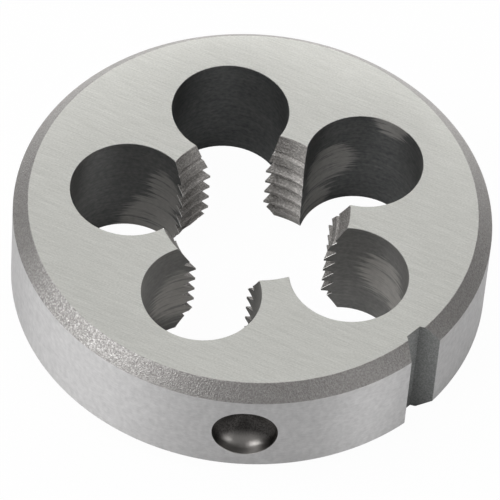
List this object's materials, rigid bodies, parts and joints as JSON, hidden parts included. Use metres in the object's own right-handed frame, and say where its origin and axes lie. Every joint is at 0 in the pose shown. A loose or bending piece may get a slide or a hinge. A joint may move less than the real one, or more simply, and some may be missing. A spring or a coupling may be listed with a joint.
{
  "type": "round threading die",
  "caption": "Solid round die of hardened steel that cuts an M14 x 1.25 right-hand outside thread, with chip holes and an adjusting notch.",
  "frame": {"origin": "on the thread axis, at the lower face that the die lies on", "axes": "+Z along the thread axis towards the upper face, +X out through the middle of the adjusting notch"},
  "size_m": [0.0379, 0.038, 0.01],
  "materials": {
    "tool_steel": "ground faces, satin rim, dark drilled holes"
  },
  "bodies": {
    "root": {"threading_die": "tool_steel"}
  },
  "joints": []
}
